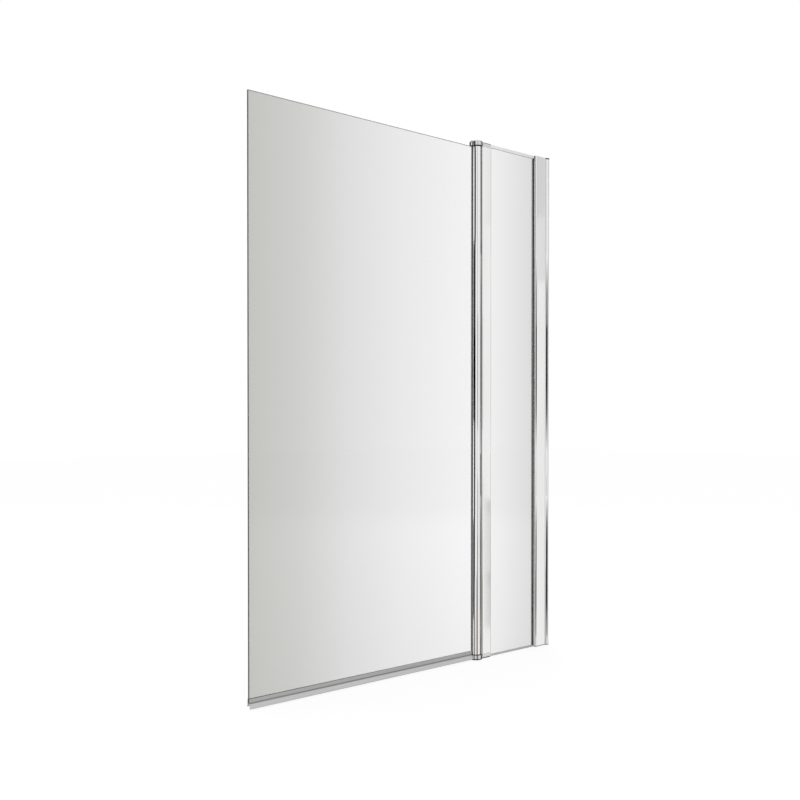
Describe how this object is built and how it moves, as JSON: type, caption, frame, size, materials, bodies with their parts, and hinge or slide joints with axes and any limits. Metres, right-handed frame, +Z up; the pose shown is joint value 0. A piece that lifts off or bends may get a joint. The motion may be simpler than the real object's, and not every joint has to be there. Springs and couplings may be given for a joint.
{
  "type": "bath screen",
  "caption": "Frameless glass bath screen: a narrow fixed panel in a polished wall profile and a wide glass door that swings on a round pivot column, with a drip seal.",
  "frame": {"origin": "on the wall face of the wall channel, at its bottom end, in the middle plane of the glass; this is where the bath rim meets the wall", "axes": "+Z up, +X into the wall, so the screen stands out along -X from the wall; -Y is the front shown in the picture, with the splayed fin of the door's seal on it"},
  "size_m": [1.005, 0.038, 1.433],
  "materials": {
    "polished_profile": "bright polished extrusion",
    "chromed_bracket": "bright polished, silver",
    "clear_glass": "clear toughened, ground edges",
    "dark_gasket": "matt dark grey",
    "clear_gasket": "soft translucent grey",
    "clear_seal": "translucent soft strip",
    "end_cap": "satin moulded, dark grey",
    "nylon": "natural nylon",
    "black_acetal": "moulded, black",
    "satin_strip": "satin anodised, silver grey",
    "stainless_steel": "plain stainless"
  },
  "bodies": {
    "wall_channel": {"wall_channel": "polished_profile", "wall_channel_cap": "end_cap"},
    "fixed_panel": {"frame_profile": "polished_profile", "frame_cap": "polished_profile", "frame_gasket_front": "dark_gasket", "frame_gasket_back": "clear_gasket", "fixed_glass": "clear_glass", "glass_blocks": "nylon", "top_rail": "polished_profile", "bottom_rail": "satin_strip", "hinge_post": "polished_profile", "post_gasket_front": "clear_gasket", "post_gasket_back": "clear_gasket", "column_seal": "dark_gasket", "top_bracket": "chromed_bracket", "bottom_bracket": "chromed_bracket", "bracket_screws": "stainless_steel", "pivot_pin_top": "stainless_steel", "pivot_pin_bottom": "stainless_steel", "thrust_washer": "black_acetal", "clamp_screws": "stainless_steel", "clamp_nuts": "stainless_steel", "screw_caps": "chromed_bracket"},
    "door": {"pivot_column": "polished_profile", "pivot_bush_top": "black_acetal", "pivot_bush_bottom": "black_acetal", "column_gasket_front": "clear_gasket", "column_gasket_back": "dark_gasket", "door_glass": "clear_glass", "bottom_seal": "clear_seal"}
  },
  "joints": [
    {"name": "profile_adjustment", "type": "slide", "parent": "wall_channel", "child": "fixed_panel", "axis": [1, 0, 0], "range_m": [-0.004, 0.004]},
    {"name": "door_pivot", "type": "hinge", "parent": "fixed_panel", "child": "door", "pos_m": [-0.283, 0, 0.7], "axis": [0, 0, 1], "range_deg": [-90, 90]}
  ]
}
